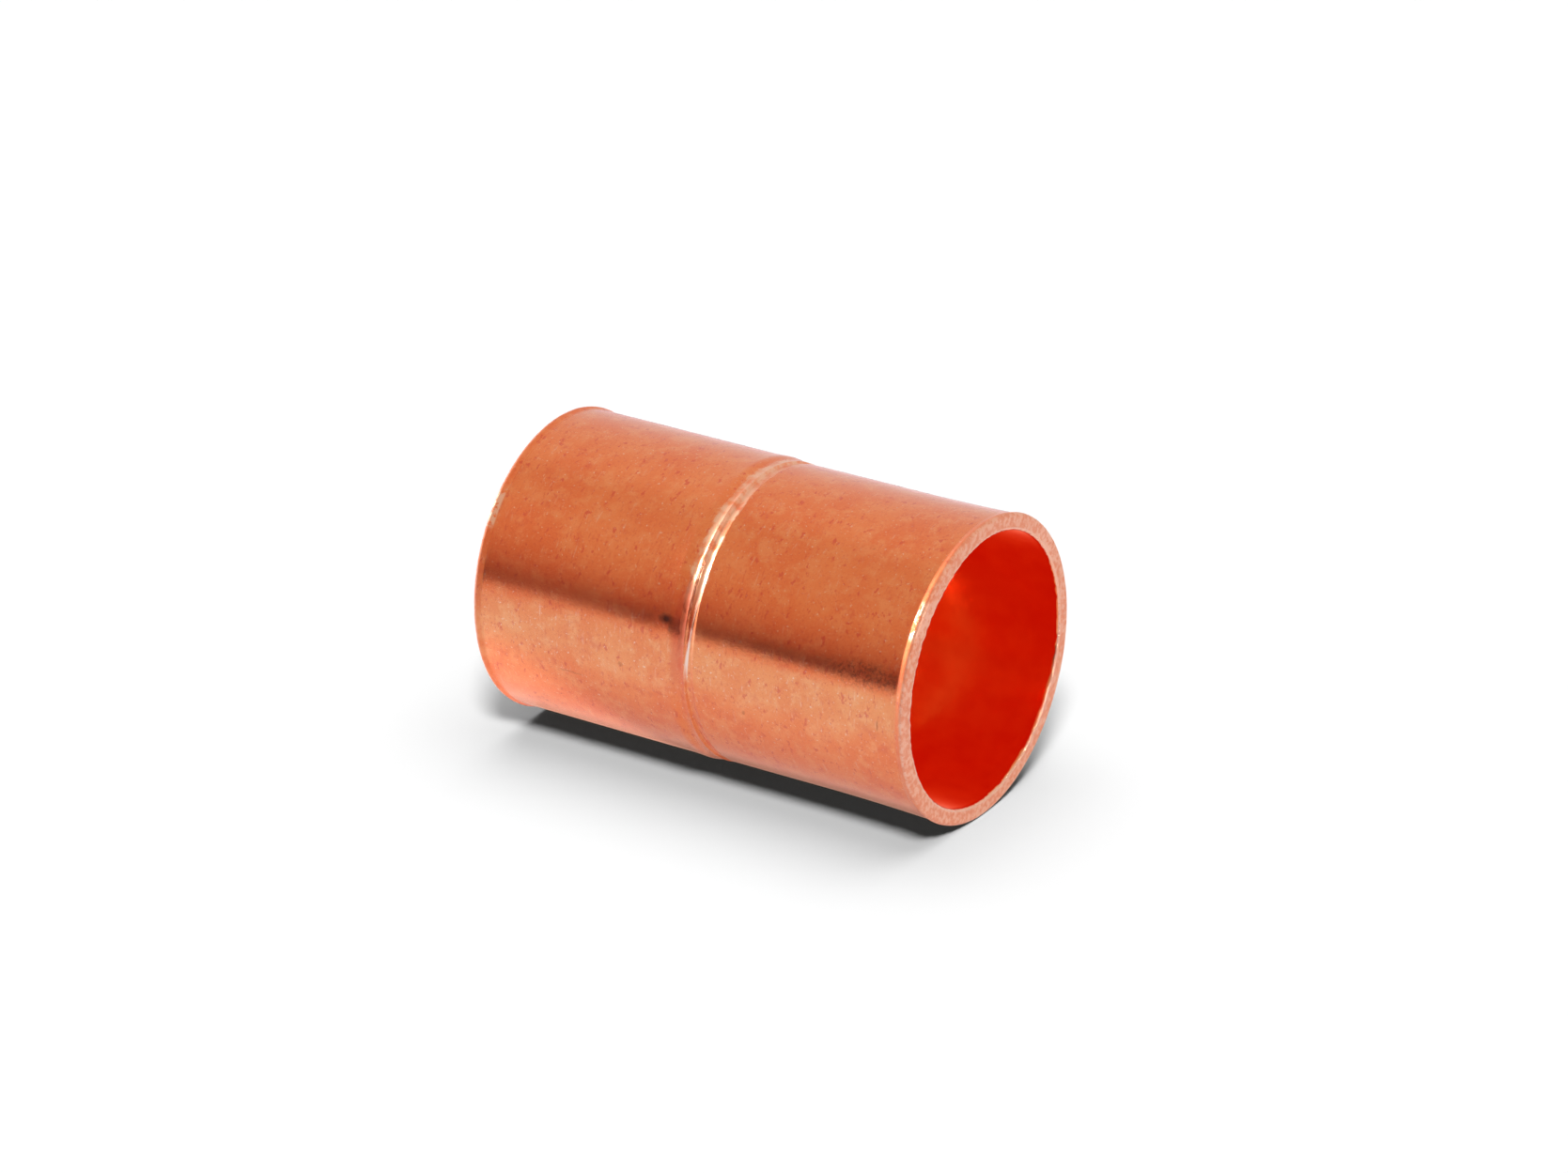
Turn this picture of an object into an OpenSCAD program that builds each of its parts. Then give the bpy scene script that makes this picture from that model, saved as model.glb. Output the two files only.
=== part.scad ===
// Copper reducing coupling with a rolled stop: one length of tube, formed in one piece.
// The axis lies along X, with the small socket towards +X and the middle of the stop at
// the origin. Millimetres.

/* [Tubes] */
// Outside diameter of the tube that the small socket takes
small_tube = 22; // [21.5:0.1:22]
// Outside diameter of the tube that the large socket takes
large_tube = 22.225; // [22.2:0.025:22.8]
// How much wider each socket is than its tube, for solder to run in
solder_gap = 0.105; // [0.05:0.005:0.3]

/* [Body] */
// Wall thickness of the formed tube
wall = 1.04; // [0.9:0.01:1.5]
// Depth of each socket, from its mouth to the stop
socket_depth = 19.05; // [15:0.05:30]
// How far the small half's outside swells towards its mouth
bell_h = 0.18; // [0.02:0.01:0.3]
// Length over which it swells
bell_l = 9.5; // [5:0.5:12]

/* [Stop] */
// Width of the stop ridge inside, at its foot
stop_w = 1.7; // [1.4:0.05:2.4]
// Height of the stop ridge above the small socket's wall
stop_h = 0.45; // [0.3:0.05:0.6]
// Depth of the rolled groove below the small half's outside
groove_h = 0.13; // [0.1:0.01:0.16]
// Length of the groove's long side, from its bottom to the small half's outside
groove_l = 0.7; // [0.6:0.05:0.9]
// Height of the thin ridge beside the groove, above the groove's bottom
ridge_h = 0.19; // [0.14:0.01:0.24]
// Distance from the ridge's crest to the groove's bottom
ridge_w = 0.22; // [0.2:0.01:0.26]
// Depth of the shallow hollow on the ridge's other side, below the crest
hollow_h = 0.09; // [0.06:0.01:0.12]
// Distance from the ridge's crest to the bottom of the hollow
hollow_l = 0.5; // [0.4:0.05:0.6]
// Height of the swelling beside the hollow, above the large half's outside
swell_h = 0.07; // [0.02:0.01:0.1]
// Distance from the middle of the stop to the top of the swelling
swell_x = 1.6; // [1.4:0.1:2]
// Length over which the large half rises to it
swell_l = 1.9; // [1:0.1:3]

/* [Ends] */
// How far each end's rim stands out from the tube
rim_h = 0.15; // [0.05:0.05:0.3]
// Length of the slope that leads up to the rim
rim_l = 0.6; // [0.5:0.05:1]
// Radius of the rim's outer edge
rim_r = 0.3; // [0.1:0.05:0.35]
// Chamfer inside each mouth
mouth_c = 0.12; // [0.05:0.01:0.3]

/* [Hidden] */
$fn = 96;

// Wall radii of the two sockets and of the outside around them
small_in = (small_tube + solder_gap) / 2;
large_in = (large_tube + solder_gap) / 2;
small_out = small_in + wall;
large_out = large_in + wall;
half_l = stop_w / 2 + socket_depth;

// Radii of the bends: at the two sides of the thin ridge's crest, in the groove's bottom,
// where the groove and the swelling run out, and at the crest of the ridge inside
ridge_soft_r = 0.15;
ridge_sharp_r = 0.08;
groove_r = 0.1;
shoulder_r = 0.4;
swell_r = 1.1;
stop_r = 0.4;
arc_steps = 7;

// The largest start radius that an S-shaped step from a to b has room for
function widest(a, b, end_r) =
    let (run = b.x - a.x, rise = b.y - a.y)
    (run * run + rise * rise) / (2 * abs(rise)) - end_r;

// An S-shaped step from point a to point b, level at both ends: an arc of start_r, a
// straight slope and an arc of end_r. With the widest start_r the arcs meet directly.
function s_step(a, b, end_r, start_r) =
    let (
        run = abs(b.x - a.x),
        rise = abs(b.y - a.y),
        along = sign(b.x - a.x),
        up = sign(b.y - a.y),
        radii = start_r + end_r,
        centres = norm([run, rise - radii]),
        turn = atan2(rise - radii, run) + asin(min(1, radii / centres))
    )
    concat(
        [for (i = [0:arc_steps]) let (t = turn * i / arc_steps)
            a + start_r * [along * sin(t), up * (1 - cos(t))]],
        [for (i = [arc_steps:-1:0]) let (t = turn * i / arc_steps)
            b - end_r * [along * sin(t), up * (1 - cos(t))]]
    );

// A step whose start is as round as it can be
function soft_step(a, b, end_r) = s_step(a, b, end_r, widest(a, b, end_r));

// The outer edge of an end: from the tube's outside at radius r, out over the rim and
// round to the end face. side is +1 or -1, the end that it belongs to.
function rim(side, r) =
    let (
        face = side * half_l,
        crest = [face - side * rim_r, r + rim_h]
    )
    concat(
        soft_step([crest.x - side * rim_l, r], crest, rim_r),
        [for (i = [1:arc_steps]) let (t = 90 * i / arc_steps)
            crest + rim_r * [side * sin(t), cos(t) - 1]]
    );

// The inner edge of an end, from its face to the socket's wall at radius r
function mouth(side, r) = [
    [side * half_l, r + mouth_c],
    [side * (half_l - mouth_c), r]
];

// The listed points in the opposite order
function reversed(points) = [for (i = [len(points) - 1:-1:0]) points[i]];

// The outside, from the large end to the small end
swelling = [-swell_x, large_out + swell_h];
groove = [ridge_w / 2, small_out - groove_h];
ridge = groove + [-ridge_w, ridge_h];
hollow = ridge - [hollow_l, hollow_h];
bell_end = half_l - rim_r - rim_l;
outside = concat(
    reversed(rim(-1, large_out)),
    soft_step([swelling.x - swell_l, large_out], swelling, swell_l),
    soft_step(swelling, hollow, swell_r),
    soft_step(hollow, ridge, ridge_soft_r),
    s_step(ridge, groove, groove_r, ridge_sharp_r),
    soft_step(groove, [groove.x + groove_l, small_out], shoulder_r),
    soft_step([bell_end - bell_l, small_out], [bell_end, small_out + bell_h], bell_l),
    rim(1, small_out + bell_h)
);

// The inside, from the small end to the large end
stop = [0, small_in - stop_h];
inside = concat(
    mouth(1, small_in),
    soft_step([stop_w / 2, small_in], stop, stop_r),
    reversed(soft_step([-stop_w / 2, large_in], stop, stop_r)),
    reversed(mouth(-1, large_in))
);

// The whole fitting: its wall section, turned about the X axis
module coupling_body() {
    color("#c8754a")
        rotate([0, 90, 0])
            rotate_extrude()
                polygon([for (p = concat(outside, inside)) [p.y, p.x]]);
}

coupling_body();
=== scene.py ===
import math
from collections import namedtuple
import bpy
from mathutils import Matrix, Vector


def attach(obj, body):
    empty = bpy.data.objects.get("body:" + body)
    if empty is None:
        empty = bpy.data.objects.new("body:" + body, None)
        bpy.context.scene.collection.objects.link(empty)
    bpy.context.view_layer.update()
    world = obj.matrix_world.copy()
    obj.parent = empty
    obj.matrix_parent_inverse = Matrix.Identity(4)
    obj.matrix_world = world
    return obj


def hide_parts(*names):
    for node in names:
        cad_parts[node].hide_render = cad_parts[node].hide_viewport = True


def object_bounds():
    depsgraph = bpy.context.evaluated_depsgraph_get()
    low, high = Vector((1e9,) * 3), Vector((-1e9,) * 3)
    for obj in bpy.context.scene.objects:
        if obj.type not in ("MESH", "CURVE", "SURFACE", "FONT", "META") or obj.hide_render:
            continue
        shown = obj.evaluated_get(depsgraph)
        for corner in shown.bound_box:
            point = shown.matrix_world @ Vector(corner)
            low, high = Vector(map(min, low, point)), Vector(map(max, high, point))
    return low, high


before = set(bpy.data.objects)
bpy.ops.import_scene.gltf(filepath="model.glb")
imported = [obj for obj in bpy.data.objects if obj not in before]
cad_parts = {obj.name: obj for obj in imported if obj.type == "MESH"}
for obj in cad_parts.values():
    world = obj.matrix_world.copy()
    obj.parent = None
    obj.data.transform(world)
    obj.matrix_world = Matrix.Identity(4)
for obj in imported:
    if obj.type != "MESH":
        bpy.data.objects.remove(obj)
cad_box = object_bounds()

# Looks for a copper reducing coupling: one piece of formed tube, lying on a pale floor.
# The axis is X, with the small socket towards +X. Lengths named here are in millimetres.
from types import SimpleNamespace

import bpy
import numpy as np
from mathutils import Vector, noise

MM = 0.001
NODE = "coupling_body"
HALF = cad_box[1].x / MM  # half of the coupling's length

# ---------------------------------------------------------------- the wall's section

RING_POINTS = 512      # points round each ring of the mesh
LONG_STEP = 0.3        # longest step between two rings, along the wall
FACE_STEP = 0.12       # the same on the two cut faces


def wall_section():
    """The outside and the inside of the wall, each as rows of (x, radius) from -X to +X.

    Both are read off the CAD node: its points lie on rings round the axis, and the widest
    gap among the rings' radii is the wall itself."""
    points = np.array([v.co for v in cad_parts[NODE].data.vertices]) / MM
    x = points[:, 0]
    radius = np.hypot(points[:, 1], points[:, 2])
    ordered = np.unique(radius.round(3))
    widest = np.argmax(np.diff(ordered))
    middle = (ordered[widest] + ordered[widest + 1]) / 2
    sides = []
    for side in (radius > middle, radius < middle):
        rows = {round(float(a), 3): float(b) for a, b in zip(x[side], radius[side])}
        sides.append(np.array(sorted(rows.items())))
    return sides


def refined(rows, step):
    """The same outline with extra points, so that no two are further apart than step."""
    out = [rows[0]]
    for a, b in zip(rows[:-1], rows[1:]):
        parts = max(1, math.ceil(np.linalg.norm(b - a) / step))
        out += [a + (b - a) * i / parts for i in range(1, parts + 1)]
    return np.array(out)


def closed_section():
    """The whole outline as one loop of (x, radius) rows, and for each step from a row to
    the next whether it belongs to the bore. The cut faces go with the outside."""
    outside, inside = wall_section()
    inside = inside[::-1]
    near_face = np.array([outside[-1], inside[0]])
    far_face = np.array([inside[-1], outside[0]])
    loop, in_bore = [], []
    for rows, step, bore in (
        (outside, LONG_STEP, False),
        (near_face, FACE_STEP, False),
        (inside[:2], FACE_STEP, False),
        (inside[1:-1], LONG_STEP, True),
        (inside[-2:], FACE_STEP, False),
        (far_face, FACE_STEP, False),
    ):
        points = refined(rows, step)[:-1]
        loop += list(points)
        in_bore += [bore] * len(points)
    return np.array(loop), in_bore


# ---------------------------------------------------------------- unevenness

# Waves on the surface: their length and their height
LONG_WAVES = (7, 0.016)
TOOL_MARKS = (1.7, 0.0035)
GROOVE_WAVES = (0.8, 0.02)
SAW_WAVES = (1.25, 0.012)
BURR_WAVES = (1 / 2.6, 0.05)
BORE_SHARE = 0.6  # how strong the long waves are in the bore
# Where the last three are, as (low, high, softness)
GROOVE_REACH = (-0.7, 0.6, 0.4)
MOUTH_REACH = (HALF - 0.35, HALF + 1, 0.5)
BURR_REACH = (11, 11.3, 0.15)

OUTER_RADIUS = 12.2  # the outside's, near enough to place marks round it
# Dents in the outside, and bumps where depth is negative
Dent = namedtuple("Dent", "x degrees_from_top width depth")
DENTS = (
    Dent(-1.9, 73.4, 0.3, 0.012),
    Dent(10.0, 19.0, 0.3, 0.02),
    Dent(13.1, 27.8, 0.3, 0.02),
    Dent(-7.5, 57.5, 0.15, -0.02),
    Dent(-12.6, 141.0, 0.8, 0.012),
    Dent(8.2, 118.0, 0.6, 0.012),
    Dent(14.5, -62.0, 0.5, 0.03),
    Dent(-9.0, -120.0, 0.9, 0.025),
)
DENT_REACH = 3  # a dent is felt within this many of its widths


def window(value, low, high, soft):
    """1 between low and high, falling to 0 over soft on either side."""
    rise = np.clip((value - low) / soft + 1, 0, 1)
    fall = np.clip((high - value) / soft + 1, 0, 1)
    return float(rise * fall)


def waves(place, size, seed=(0, 0, 0)):
    length, height = size
    return height * noise.noise(place / length + Vector(seed))


def dents_at(x, turn):
    """How far the dents put the outside off at a point. turn is from the top towards -Y."""
    off = 0
    for dent in DENTS:
        if abs(x - dent.x) < DENT_REACH * dent.width:
            angle = (math.degrees(turn) - dent.degrees_from_top + 180) % 360 - 180
            across = math.radians(angle) * OUTER_RADIUS
            off -= dent.depth * math.exp(-((x - dent.x) ** 2 + across**2) / dent.width**2)
    return off


def unevenness(x, radius, turn, bore):
    """How far the formed copper stands off the true surface at a point."""
    y, z = -radius * math.sin(turn), radius * math.cos(turn)
    place = Vector((x, y, z))
    long_waves = waves(place, LONG_WAVES)
    if bore:
        return BORE_SHARE * long_waves
    mouth = window(abs(x), *MOUTH_REACH)
    tool_marks = waves(place, TOOL_MARKS, (9, 0, 0))
    groove = window(x, *GROOVE_REACH) * waves(place, GROOVE_WAVES)
    saw = mouth * waves(place, SAW_WAVES, (0, 5, 0))
    burr = mouth * window(radius, *BURR_REACH) * waves(place, BURR_WAVES)
    return long_waves + tool_marks + groove + saw + burr + dents_at(x, turn)


def uneven_points(loop, in_bore):
    """The loop turned round the axis, ring by ring, with the unevenness put in."""
    ahead = np.roll(loop, -1, 0) - np.roll(loop, 1, 0)
    normals = np.stack([-ahead[:, 1], ahead[:, 0]], 1)
    normals /= np.linalg.norm(normals, axis=1)[:, None]
    points = []
    for (x, radius), normal, bore in zip(loop, normals, in_bore):
        for i in range(RING_POINTS):
            turn = math.tau * i / RING_POINTS
            off = unevenness(x, radius, turn, bore)
            grown = radius + off * normal[1]
            points.append(
                (x + off * normal[0], -grown * math.sin(turn), grown * math.cos(turn))
            )
    return np.array(points) * MM


def ring_faces(rings):
    """Four-sided faces that join each ring to the next, and the last to the first."""
    faces = []
    for ring in range(rings):
        a, b = ring * RING_POINTS, (ring + 1) % rings * RING_POINTS
        for i in range(RING_POINTS):
            j = (i + 1) % RING_POINTS
            faces.append((a + i, a + j, b + j, b + i))
    return faces


def formed_tube():
    """The fitting as one closed mesh of rings, with the outside in material slot 0 and the
    bore in slot 1."""
    loop, in_bore = closed_section()
    faces = ring_faces(len(loop))
    mesh = bpy.data.meshes.new("coupling")
    mesh.from_pydata(uneven_points(loop, in_bore).tolist(), [], faces)
    slots = [int(bore) for bore in in_bore for _ in range(RING_POINTS)]
    mesh.polygons.foreach_set("material_index", slots)
    mesh.polygons.foreach_set("use_smooth", [True] * len(faces))
    mesh.update()
    piece = bpy.data.objects.new("coupling", mesh)
    bpy.context.scene.collection.objects.link(piece)
    return piece


# ---------------------------------------------------------------- node trees

Pattern = namedtuple("Pattern", "scale detail roughness start full")  # scale is per mm


class Tree:
    """Short calls for building a node tree."""

    def __init__(self, owner):
        owner.use_nodes = True
        self.tree = owner.node_tree
        self.tree.nodes.clear()

    def put(self, kind, inputs=None, **settings):
        """A node, with its settings, and its inputs by name or number: values or links."""
        node = self.tree.nodes.new("ShaderNode" + kind)
        for key, value in settings.items():
            setattr(node, key, value)
        for key, value in (inputs or {}).items():
            if isinstance(value, bpy.types.NodeSocket):
                self.tree.links.new(value, node.inputs[key])
            else:
                node.inputs[key].default_value = value
        return node

    def math(self, operation, a, b=0.0, c=0.0):
        return self.put("Math", {0: a, 1: b, 2: c}, operation=operation).outputs[0]

    def times(self, a, b):
        return self.math("MULTIPLY", a, b)

    def vector(self, operation, a, b):
        return self.put("VectorMath", {0: a, 1: b}, operation=operation).outputs[0]

    def noise(self, vector, scale, detail=3.0, roughness=0.55):
        inputs = {"Vector": vector, "Scale": scale, "Detail": detail, "Roughness": roughness}
        return self.put("TexNoise", inputs).outputs[0]

    def between(self, value, low, high):
        """A smooth step: 0 below low, 1 above high. With low above high it falls."""
        node = self.put("MapRange", {0: value, 1: low, 2: high}, interpolation_type="SMOOTHSTEP")
        return node.outputs[0]

    def mix(self, share, a, b, blend_type="MIX"):
        """Colour a turning into colour b."""
        node = self.put("Mix", {0: share, 6: a, 7: b}, data_type="RGBA", blend_type=blend_type)
        return node.outputs[2]

    def blend(self, share, a, b):
        """Number a turning into number b."""
        return self.put("Mix", {0: share, 2: a, 3: b}, data_type="FLOAT").outputs[0]

    def band(self, value, rise, fall):
        """1 between two smooth edges, each given as (where it is 0, where it is 1)."""
        return self.times(self.between(value, *rise), self.between(value, *fall))

    def pattern(self, vector, pattern):
        """Noise turned into patches, from 0 where it is at start to 1 where it is at full."""
        value = self.noise(vector, pattern.scale, pattern.detail, pattern.roughness)
        return self.between(value, pattern.start, pattern.full)

    def bump(self, height, depth_mm, below=None):
        """A bump whose full height is depth_mm."""
        inputs = {"Height": height, "Distance": depth_mm * MM, "Strength": 1.0}
        if below is not None:
            inputs["Normal"] = below
        return self.put("Bump", inputs).outputs[0]


def rgb(red, green, blue):
    return (red, green, blue, 1.0)


def millimetres(tree):
    """Where a surface point lies in the part's frame, in millimetres."""
    place = tree.put("TexCoord").outputs["Object"]
    return tree.vector("MULTIPLY", place, (1 / MM,) * 3)


RAGGED_SCALE = 2.5  # how fine the edges of ragged marks are, per millimetre
RAGGED_REACH = 0.12  # and how far they stray


def ragged(tree, place):
    """The place, shifted a little this way and that, so that round things go ragged."""
    shift = tree.put("TexNoise", {"Vector": place, "Scale": RAGGED_SCALE, "Detail": 3.0})
    shift = tree.vector("SUBTRACT", shift.outputs[1], (0.5,) * 3)
    return tree.vector("ADD", place, tree.vector("MULTIPLY", shift, (2 * RAGGED_REACH,) * 3))


def at_mark(tree, place, x, angle, size):
    """1 on a mark at that x and angle from the top towards -Y, fading out at its edge.
    size is its half size along x and around the tube."""
    turn = math.radians(angle)
    centre = (x, -OUTER_RADIUS * math.sin(turn), OUTER_RADIUS * math.cos(turn))
    away = tree.vector("SUBTRACT", place, centre)
    away = tree.vector("DIVIDE", away, (size[0], size[1], size[1]))
    distance = tree.put("VectorMath", {0: away}, operation="LENGTH").outputs["Value"]
    return tree.between(distance, 1.0, 0.4)


# ---------------------------------------------------------------- copper

COPPER = rgb(0.95, 0.250, 0.080)
COPPER_RED = rgb(0.92, 0.205, 0.062)
COPPER_PALE = rgb(0.97, 0.31, 0.115)
REDDISH = rgb(0.82, 0.145, 0.055)
SPECK = rgb(0.78, 0.12, 0.055)
# dark tarnish on the patch near the small mouth; on the ridge's strip it is painted shade
TARNISH_AND_SHADE = rgb(0.30, 0.07, 0.035)
DARK_STAIN = rgb(0.16, 0.035, 0.018)
# painted sheen: the track's colour where the groove reflects the bright tent
PAINTED_SHEEN = rgb(1.0, 0.58, 0.38)
# painted highlight: the thin line across the groove, the spot on each rim and the glints on the
# burr
PAINTED_HIGHLIGHT = rgb(1.0, 0.53, 0.36)
FRESH_CUT = rgb(0.97, 0.56, 0.39)
SAWN = rgb(0.91, 0.37, 0.21)
BORE_COPPER = rgb(0.96, 0.30, 0.11)
LATE_LIGHT = rgb(0.66, 0.28, 0.22)
BLACK = rgb(0, 0, 0)
FLOOR_SEES = rgb(0.03, 0.03, 0.03)

CLOUDS = Pattern(0.17, 3.0, 0.5, 0.38, 0.6)  # where COPPER_RED gives way to COPPER
GRAIN = Pattern(5.0, 3.0, 0.6, 0.5, 0.75)
# Laid over the outside in turn. On "place" a pattern is the same in every direction; on
# "skin" it follows the tube, on "scuffed" it runs round it, and on "streaked" a little so
Layer = namedtuple("Layer", "coordinates pattern strength colour")
LAYERS = (
    Layer("place", Pattern(0.8, 5.0, 0.6, 0.45, 0.68), 0.8, COPPER_PALE),  # mottle
    Layer("place", GRAIN, 0.4, COPPER_PALE),
    Layer("place", Pattern(0.55, 6.0, 0.65, 0.56, 0.74), 0.7, REDDISH),  # stains
    Layer("scuffed", Pattern(1.2, 5.0, 0.65, 0.58, 0.72), 0.55, REDDISH),
    Layer("scuffed", Pattern(1.2, 5.0, 0.65, 0.42, 0.28), 0.35, FRESH_CUT),
    Layer("streaked", Pattern(1.7, 4.0, 0.65, 0.59, 0.66), 0.8, SPECK),
    Layer("place", Pattern(4.5, 2.0, 0.5, 0.58, 0.68), 0.3, SPECK),  # fine specks
    Layer("skin", Pattern(3.6, 3.0, 0.6, 0.38, 0.30), 0.6, FRESH_CUT),  # bright specks
)
SCUFFED = (2.6, 0.5, 1)
STREAKED = (1, 0.6, 1)

# Dark marks on the outside, with half their size along x and round the tube
Mark = namedtuple("Mark", "x degrees_from_top size strength")
MARKS = (
    Mark(-1.9, 73.6, (0.95, 0.55), 0.6),
    Mark(-1.9, 73.6, (0.42, 0.32), 1.0),
    Mark(10.0, 19.0, (0.35, 0.14), 0.55),
    Mark(13.1, 27.8, (0.22, 0.18), 0.45),
    Mark(5.2, 103.0, (0.2, 0.3), 0.3),
    Mark(17.6, 92.0, (0.12, 0.6), 0.35),
    Mark(-6.0, 96.0, (0.3, 0.3), 0.25),
    Mark(-11.0, 106.0, (1.6, 0.12), 0.2),
)
# A speckled patch of tarnish near the small mouth
PATCH = Mark(16.2, 74.5, (4.5, 1.4), 0.7)
SPECKLE = Pattern(3.6, 5.0, 0.7, 0.42, 0.66)

# Soft edges below are (where it is 0, where it is 1), in millimetres along x or z
CUT = (HALF - 0.4, HALF - 0.08)  # sawn metal
BURR = (11.34, 11.24)  # the radius of the burr, on the sawn metal
RIM = (HALF - 0.8, HALF - 0.6)
SAWN_PALE = Pattern(2.2, 4.0, 0.7, 0.42, 0.60)
SPOT_HEIGHT = 7.7  # a spot on the rims at this height, where a highlight is painted
SPOT_FADE = (1.4, 0.9)
SPOT_PATCHES = Pattern(1.6, 3.0, 0.6, 0.42, 0.52)

# The rolling tool's track: where it is once its edges are made wavy, and how high up. Its pale
# sheen is a painted reflection, kept to the upper side where the light falls
TRACK_EDGES = (-0.95, -0.6), (0.85, 0.6)
TRACK_WAVE = 0.9
TRACK_HEIGHT = (3.5, 7.0)
TRACK_COATED = (10.2, 8.8)
TRACK_SATIN = (8.0, 9.6)
PATCHES = Pattern(0.9, 4.0, 0.6, 0.3, 0.6)
# The thin painted highlight line below the track: its x at z = 0, how it drifts as it rises,
# until that z
LINE_X = 0.09
LINE_DRIFT = 0.073
LINE_TOP = 5.0
LINE_WIDTH = (0.17, 0.07)
LINE_HEIGHT = (-1.8, 0.5), (8.5, 6.0)
LINE_CREASED = (5.5, 3.5)
# A darker, redder band to its left, low on the tube, and the dull strip of the ridge, which
# carries painted shade
RED_BAND_X = (-1.5, -1.0), (0.1, -0.3)
RED_BAND_HEIGHT = (7.0, 4.5), (-4.0, 1.0)
STRIP_X = (-0.8, -0.6), (0.0, -0.12)
STRIP_HEIGHT = (7.2, 6.2)
STRIP_PAINTED_SHADE = (0.0, 4.0)


def plain_to_the_table(tree, colour):
    """The colour, except that light bounced off the table meets a dull grey: so the part
    leaves a neutral shadow, as it does under a large tent."""
    bounced = tree.put("LightPath").outputs["Is Diffuse Ray"]
    return tree.mix(bounced, colour, FLOOR_SEES)


def coordinates(tree):
    """Where a surface point is: its place, x, z, radius and distance from the middle, its
    place on the tube's skin laid flat, and two stretched versions of that."""
    place = millimetres(tree)
    x, y, z = tree.put("SeparateXYZ", {0: place}).outputs
    around = tree.times(tree.math("ARCTAN2", tree.times(y, -1.0), z), OUTER_RADIUS)
    skin = tree.put("CombineXYZ", {0: x, 1: around}).outputs[0]
    flat = tree.vector("MULTIPLY", place, (0, 1, 1))
    return SimpleNamespace(
        place=place,
        x=x,
        z=z,
        radius=tree.put("VectorMath", {0: flat}, operation="LENGTH").outputs["Value"],
        far_out=tree.math("ABSOLUTE", x),
        skin=skin,
        scuffed=tree.vector("MULTIPLY", skin, SCUFFED),
        streaked=tree.vector("MULTIPLY", skin, STREAKED),
    )


def mouths(tree, at):
    """Shares for the two ends: the sawn metal, the burr on it, the rim, and a spot at one height
    on the rims where a highlight is painted."""
    cut = tree.between(at.far_out, *CUT)
    rim = tree.between(at.far_out, *RIM)
    # A patchy spot at one height on both rims, smoother and painted pale: a painted highlight.
    off_spot = tree.math("ABSOLUTE", tree.math("SUBTRACT", at.z, SPOT_HEIGHT))
    highlight_spot = tree.times(rim, tree.between(off_spot, *SPOT_FADE))
    return SimpleNamespace(
        cut=cut,
        burr=tree.times(tree.between(at.radius, *BURR), cut),
        rim=rim,
        highlight_spot=tree.times(highlight_spot, tree.pattern(at.place, SPOT_PATCHES)),
    )


def rolling(tree, at):
    """Shares for the groove the rolling tool left. Its track is painted pale on the upper side
    only, a painted reflection. Lower down a thin painted highlight line drifts across the
    groove."""
    wave = tree.noise(at.place, 0.8, 4.0, 0.65)
    wavy = tree.math("MULTIPLY_ADD", wave, TRACK_WAVE,
                     tree.math("SUBTRACT", at.x, TRACK_WAVE / 2))
    # The track, kept to its upper side where the light falls, carries a painted sheen.
    track = tree.times(tree.band(wavy, *TRACK_EDGES), tree.between(at.z, *TRACK_HEIGHT))
    # A thin painted highlight line, drifting across the groove as it goes down.
    off_line = tree.math("MULTIPLY_ADD", tree.math("MINIMUM", at.z, LINE_TOP), -LINE_DRIFT,
                         tree.math("SUBTRACT", at.x, LINE_X))
    line = tree.between(tree.math("ABSOLUTE", off_line), *LINE_WIDTH)
    line = tree.times(line, tree.band(at.z, *LINE_HEIGHT))
    # A darker, redder band left of the line, low on the tube.
    red_band = tree.times(tree.band(at.x, *RED_BAND_X), tree.band(at.z, *RED_BAND_HEIGHT))
    # The ridge's strip low down: duller, and carrying painted shade.
    strip = tree.times(tree.band(at.x, *STRIP_X), tree.between(at.z, *STRIP_HEIGHT))
    return SimpleNamespace(
        track=track,
        patchy=tree.pattern(at.place, PATCHES),
        line=line,
        red_band=tree.times(red_band, tree.between(line, 0.5, 0.0)),
        strip=strip,
        glossy=tree.math("MAXIMUM", tree.times(track, tree.between(at.z, *TRACK_COATED)), line),
    )


def mottled_copper(tree, at):
    """The drawn skin of the tube with its layers, dark marks and patch of tarnish."""
    colour = tree.mix(tree.pattern(at.place, CLOUDS), COPPER_RED, COPPER)
    for layer in LAYERS:
        share = tree.pattern(getattr(at, layer.coordinates), layer.pattern)
        colour = tree.mix(tree.times(share, layer.strength), colour, layer.colour)
    rough_place = ragged(tree, at.place)
    for x, angle, size, strength in MARKS:
        mark = tree.times(at_mark(tree, rough_place, x, angle, size), strength)
        colour = tree.mix(mark, colour, DARK_STAIN)
    patch = at_mark(tree, at.place, PATCH.x, PATCH.degrees_from_top, PATCH.size)
    patch = tree.times(patch, tree.pattern(at.place, SPECKLE))
    return tree.mix(tree.times(patch, PATCH.strength), colour, TARNISH_AND_SHADE)


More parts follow.
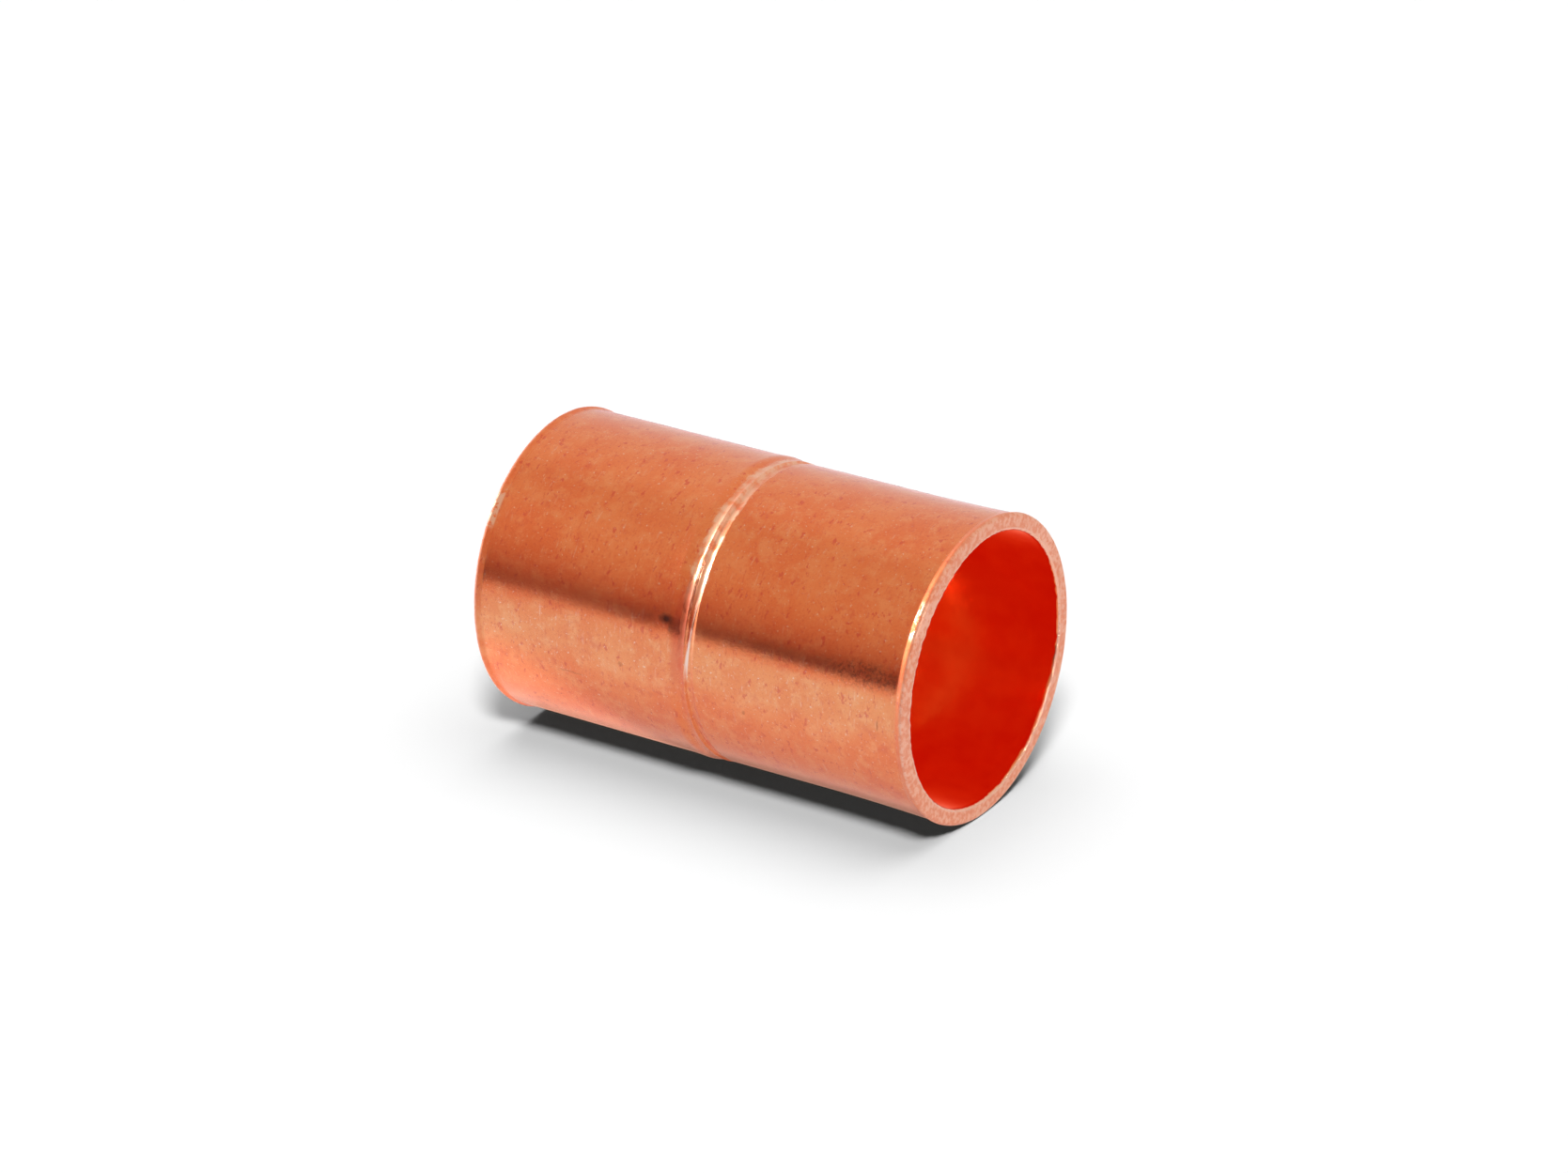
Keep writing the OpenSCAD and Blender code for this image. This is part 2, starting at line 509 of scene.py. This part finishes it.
def outside_colour(tree, at, mouth, roll):
    """The mottled copper with the paler sawn ends, a darker red band by the groove, and painted
    light: sheen on the track, a highlight line, highlights on the rims and burr, and shade on
    the ridge's strip.
    """
    sawn = tree.mix(tree.pattern(at.place, SAWN_PALE), SAWN, FRESH_CUT)
    colour = tree.mix(mouth.cut, mottled_copper(tree, at), sawn)
    # Painted shade on the ridge's strip, from z = 0 upwards.
    painted_shade_strip = tree.times(roll.strip, tree.between(at.z, *STRIP_PAINTED_SHADE))
    # Painted highlights: the spot on each rim, and glints on the burr.
    painted_highlights = tree.math("MAXIMUM", mouth.highlight_spot, tree.times(mouth.burr, 0.8))
    for share, strength, paint in (
        (tree.times(roll.track, roll.patchy), 0.85, PAINTED_SHEEN),
        (roll.line, 0.95, PAINTED_HIGHLIGHT),
        (roll.red_band, 0.8, REDDISH),
        (painted_shade_strip, 0.45, TARNISH_AND_SHADE),
        (painted_highlights, 1.0, PAINTED_HIGHLIGHT),
    ):
        colour = tree.mix(tree.times(share, strength), colour, paint)
    return colour


def outside_roughness(tree, at, mouth, roll):
    """Rougher towards the large end, which was handled more. The rims are dull but for the
    smoother spot where a highlight is painted, and so is the ridge's strip low down."""
    roughness = tree.blend(tree.between(at.x, -HALF, HALF), 0.17, 0.11)
    grain = tree.noise(at.place, GRAIN.scale, GRAIN.detail, GRAIN.roughness)
    dull = tree.math("MAXIMUM", tree.math("SUBTRACT", mouth.rim, mouth.highlight_spot),
                     tree.times(roll.strip, roll.patchy))
    dull = tree.times(dull, tree.math("SUBTRACT", 1.0, mouth.burr))
    satin = tree.times(roll.track, tree.between(at.z, *TRACK_SATIN))
    for share, rougher in (
        (tree.noise(at.place, 0.5, 4.0), 0.08),
        (grain, 0.04),
        (mouth.cut, 0.25),
    ):
        roughness = tree.math("MULTIPLY_ADD", share, rougher, roughness)
    roughness = tree.blend(mouth.burr, roughness, 0.08)
    for share, rougher in ((dull, 0.28), (satin, 0.2)):
        roughness = tree.math("MULTIPLY_ADD", share, rougher, roughness)
    return roughness


def outside_relief(tree, at, mouth, roll):
    """Draw lines along the tube, a fine skin texture, saw marks and a crease along the painted
    highlight line.
    """
    along = tree.vector("MULTIPLY", at.place, (0.06, 1, 1))
    saw = tree.times(tree.noise(at.place, 3.2, 4.0, 0.65), mouth.cut)
    crease = tree.times(roll.line, tree.between(at.z, *LINE_CREASED))
    normal = tree.bump(tree.noise(along, 9.0, 3.0, 0.6), 0.001)
    normal = tree.bump(tree.noise(at.place, 2.2, 5.0, 0.6), 0.006, normal)
    normal = tree.bump(saw, 0.09, normal)
    return tree.bump(crease, 0.035, normal)


def outside_copper():
    """Drawn copper as it comes out of the box: mottled, with specks, faint stains, draw
    lines along the tube and a thin film that catches white light, with painted light on the
    groove and the ends."""
    material = bpy.data.materials.new("copper_outside")
    tree = Tree(material)
    at = coordinates(tree)
    mouth = mouths(tree, at)
    roll = rolling(tree, at)
    shader = tree.put(
        "BsdfPrincipled",
        {
            "Base Color": plain_to_the_table(tree, outside_colour(tree, at, mouth, roll)),
            "Metallic": 1.0,
            "Roughness": outside_roughness(tree, at, mouth, roll),
            "Normal": outside_relief(tree, at, mouth, roll),
            "Coat Weight": tree.blend(roll.glossy, 0.55, 1.0),
            "Coat Roughness": tree.blend(roll.glossy, 0.3, 0.12),
            "Coat IOR": tree.blend(roll.glossy, 1.38, 1.6),
        },
    )
    tree.put("OutputMaterial", {"Surface": shader.outputs[0]})
    return material


BORE_MOTTLE = Pattern(0.5, 4.0, 0.55, 0.4, 0.65)
LATE_BOUNCE = (2.2, 2.8)  # ray depths: past the third reflection of what the camera sees


def bore_copper():
    """The inside of the sockets: cleaner and shinier, with faint rings left by sizing.
    Light is followed for three bounces here, and LATE_LIGHT stands for all later ones."""
    material = bpy.data.materials.new("copper_bore")
    tree = Tree(material)
    place = millimetres(tree)
    colour = tree.mix(tree.pattern(place, BORE_MOTTLE), BORE_COPPER, COPPER_RED)
    roughness = tree.math("MULTIPLY_ADD", tree.noise(place, 0.9, 4.0), 0.06, 0.12)
    late = tree.between(tree.put("LightPath").outputs["Ray Depth"], *LATE_BOUNCE)
    colour = tree.mix(late, colour, BLACK)
    rings = tree.noise(tree.vector("MULTIPLY", place, (1, 0.08, 0.08)), 6.0, 4.0, 0.6)
    skin = tree.noise(place, 1.8, 4.0, 0.6)
    normal = tree.bump(rings, 0.0012)
    normal = tree.bump(skin, 0.004, normal)
    shader = tree.put(
        "BsdfPrincipled",
        {
            "Base Color": plain_to_the_table(tree, colour),
            "Metallic": 1.0,
            "Roughness": roughness,
            "Normal": normal,
            "Emission Color": LATE_LIGHT,
            "Emission Strength": late,
        },
    )
    material.cycles.emission_sampling = "NONE"
    tree.put("OutputMaterial", {"Surface": shader.outputs[0]})
    return material


# ---------------------------------------------------------------- stage, light, camera

FLOOR_RADIUS = 260
FLOOR_WHITE = rgb(0.9, 0.9, 0.9)  # what the camera sees of the table
# What the copper sees of it: a steady glow, and a share that goes with the light on it
FLOOR_GLOW = rgb(0.36, 0.60, 0.84)
FLOOR_SHADED = rgb(0.42, 0.50, 0.56)
FLOOR_NEAR = rgb(0.41, 0.26, 0.20)
NEAR_PART = (8, 30)  # the glow changes to FLOOR_NEAR this far in front of the part
FLOOR_FAR = rgb(0.40, 0.18, 0.18)
FAR_PART = (70, 150)  # and to FLOOR_FAR this far away from it
LEFT_PART = (-0.72, -0.88)  # directions this far to the left are brighter
LEFT_GLOW = 0.8
SEEN_DEEP = rgb(0.72, 0.72, 0.70)  # what is seen after several reflections in the bore
DEEP_SHARE = 0.8


def leftness(tree, direction_x):
    return tree.between(direction_x, *LEFT_PART)


def deep(tree, rays, first):
    """How much of SEEN_DEEP a ray sees: none of it up to the ray depth first."""
    depth = rays.outputs["Ray Depth"]
    return tree.times(tree.between(depth, first + 0.2, first + 0.8), DEEP_SHARE)


def floor(height):
    """A pale round table top at that height, in metres. The copper sees it differently."""
    bpy.ops.mesh.primitive_circle_add(
        vertices=256, radius=FLOOR_RADIUS * MM, fill_type="NGON", location=(0, 0, height)
    )
    table = bpy.context.object
    table.name = "table"
    material = bpy.data.materials.new("pale_table")
    tree = Tree(material)
    place = tree.put("TexCoord").outputs["Object"]
    direction = tree.put("VectorMath", {0: place}, operation="NORMALIZE").outputs[0]
    left = leftness(tree, tree.put("SeparateXYZ", {0: direction}).outputs[0])
    strength = tree.math("MULTIPLY_ADD", left, LEFT_GLOW, 1.0)
    near = tree.put("SeparateXYZ", {0: place}).outputs[1]
    near = tree.between(near, -NEAR_PART[1] * MM, -NEAR_PART[0] * MM)
    glow = tree.mix(near, FLOOR_GLOW, FLOOR_NEAR)
    away = tree.put("VectorMath", {0: place}, operation="LENGTH").outputs["Value"]
    away = tree.between(away, FAR_PART[0] * MM, FAR_PART[1] * MM)
    glow = tree.mix(away, glow, FLOOR_FAR)
    glow = tree.put("Emission", {"Color": glow, "Strength": strength})
    shaded = tree.put("BsdfDiffuse", {"Color": FLOOR_SHADED})
    reflected = tree.put("AddShader", {0: glow.outputs[0], 1: shaded.outputs[0]})
    rays = tree.put("LightPath")
    even = tree.put("Emission", {"Color": SEEN_DEEP, "Strength": 1.0})
    reflected = tree.put("MixShader", {0: deep(tree, rays, 1), 1: reflected.outputs[0],
                                       2: even.outputs[0]})
    seen = tree.put("BsdfDiffuse", {"Color": FLOOR_WHITE})
    shader = tree.put("MixShader", {0: rays.outputs["Is Glossy Ray"], 1: seen.outputs[0],
                                    2: reflected.outputs[0]})
    tree.put("OutputMaterial", {"Surface": shader.outputs[0]})
    table.data.materials.append(material)


# What the copper reflects on the camera's side at each height above the horizon, as
# (sine of elevation, colour): a dark gap above the table, under a white tent
FRONT_STEPS = (
    (0.00, rgb(0.04, 0.015, 0.02)),
    (0.06, rgb(0.12, 0.05, 0.05)),
    (0.16, rgb(0.40, 0.24, 0.20)),
    (0.32, rgb(0.55, 0.40, 0.34)),
    (0.52, rgb(0.64, 0.54, 0.44)),
    (0.70, rgb(0.66, 0.60, 0.52)),
    (1.00, rgb(0.70, 0.66, 0.60)),
)
FRONT_LEFT = rgb(0.30, 0.17, 0.14)  # the gap is never darker than this further left
FURTHER_LEFT = (-0.46, -0.56)
BACKDROP = rgb(0.78, 0.76, 0.74)
BEHIND = (-0.1, 0.3)  # the backdrop starts and is full this far towards +Y
WHITE = rgb(1, 1, 1)
SIDE_LIGHT = 0.04  # how strongly the tent lights the table; the two suns do most of it


def studio():
    """A white tent round the table, open towards the camera. It is plain white to the
    camera and dim to the table, and only the copper sees its steps and its gap."""
    world = bpy.data.worlds.new("tent")
    bpy.context.scene.world = world
    tree = Tree(world)
    direction = tree.put("TexCoord").outputs["Generated"]
    split = tree.put("SeparateXYZ", {0: direction})
    east, north, up = split.outputs
    ramp = tree.put("ValToRGB", {0: up})
    stops = ramp.color_ramp.elements
    while len(stops) < len(FRONT_STEPS):
        stops.new(0.5)
    for stop, (at, colour) in zip(stops, FRONT_STEPS):
        stop.position = at
        stop.color = colour
    further_left = tree.between(east, *FURTHER_LEFT)
    front = tree.mix(further_left, ramp.outputs[0], FRONT_LEFT, "LIGHTEN")
    behind = tree.math("MAXIMUM", tree.between(north, *BEHIND), leftness(tree, east))
    colour = tree.mix(behind, front, BACKDROP)
    strength = tree.math("MULTIPLY_ADD", leftness(tree, east), LEFT_GLOW, 1.0)
    rays = tree.put("LightPath")
    inner = deep(tree, rays, 2)
    colour = tree.mix(inner, colour, SEEN_DEEP)
    strength = tree.blend(inner, strength, 1.0)
    reflected = tree.put("Background", {"Color": colour, "Strength": strength})
    white = tree.put("Background", {"Color": WHITE, "Strength": 1.0})
    lighting = tree.put("Background", {"Color": WHITE, "Strength": SIDE_LIGHT})
    seen = tree.put("MixShader", {0: rays.outputs["Is Camera Ray"], 1: reflected.outputs[0],
                                  2: white.outputs[0]})
    lit = tree.put("MixShader", {0: rays.outputs["Is Diffuse Ray"], 1: seen.outputs[0],
                                 2: lighting.outputs[0]})
    tree.put("OutputWorld", {"Surface": lit.outputs[0]})


# Suns light the table only: where from, width in degrees, light given to a level surface
SUNS = (
    ("front_sun", (0.36, -0.58, 0.815), 12, 0.57),
    ("top_sun", (0.0, 0.09, 0.996), 58, 0.52),
)
# Lamps show only in the copper: where from, width and height, radiance
LAMPS = (
    ("left_lamp", (-0.865, -0.30, 0.40), 70, 70, 32),
    ("left_strip", (-0.845, -0.06, 0.48), 130, 50, 6.5),
    ("left_low", (-0.94, -0.32, 0.12), 40, 100, 7),
    ("right_lamp", (0.86, -0.33, 0.39), 40, 40, 70),
)
LAMP_DISTANCE = 450


def sun(name, toward, spread, on_table):
    """A broad lamp overhead that lights the table and casts the shadow on it."""
    data = bpy.data.lights.new(name, "SUN")
    direction = Vector(toward).normalized()
    data.angle = math.radians(spread)
    data.energy = on_table * math.pi / direction.z
    item = bpy.data.objects.new(name, data)
    item.rotation_euler = direction.to_track_quat("Z", "Y").to_euler()
    item.visible_glossy = False
    bpy.context.scene.collection.objects.link(item)


def lamp(name, toward, width, height, radiance):
    """A soft lamp that shines at the part. Only reflections show it."""
    data = bpy.data.lights.new(name, "AREA")
    data.shape = "RECTANGLE"
    data.size = width * MM
    data.size_y = height * MM
    data.energy = radiance * math.pi * data.size * data.size_y
    place = Vector(toward).normalized() * LAMP_DISTANCE * MM
    item = bpy.data.objects.new(name, data)
    item.location = place
    item.rotation_euler = place.to_track_quat("Z", "Y").to_euler()
    item.visible_diffuse = False
    bpy.context.scene.collection.objects.link(item)


VIEW_AZIMUTH = 32.876
VIEW_ELEVATION = 24.305
VIEW_DISTANCE = 474.98
VIEW_TARGET = (0.479, 1.291, 1.825)
LENS = 138.6
SENSOR = 36


def camera():
    data = bpy.data.cameras.new("view")
    data.lens = LENS
    data.sensor_width = SENSOR
    data.clip_start = 1 * MM
    turn, rise = math.radians(VIEW_AZIMUTH), math.radians(VIEW_ELEVATION)
    back = Vector(
        (math.sin(turn) * math.cos(rise), -math.cos(turn) * math.cos(rise), math.sin(rise))
    )
    item = bpy.data.objects.new("view", data)
    item.location = (Vector(VIEW_TARGET) + back * VIEW_DISTANCE) * MM
    item.rotation_euler = back.to_track_quat("Z", "Y").to_euler()
    bpy.context.scene.collection.objects.link(item)
    bpy.context.scene.camera = item


# ---------------------------------------------------------------- the scene

coupling = formed_tube()
coupling.data.materials.append(outside_copper())
coupling.data.materials.append(bore_copper())
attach(coupling, "root")
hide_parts(NODE)

lowest = min(v.co.z for v in coupling.data.vertices)
floor(lowest)
studio()
for settings in SUNS:
    sun(*settings)
for settings in LAMPS:
    lamp(*settings)
camera()
bpy.context.scene.view_settings.view_transform = "Standard"
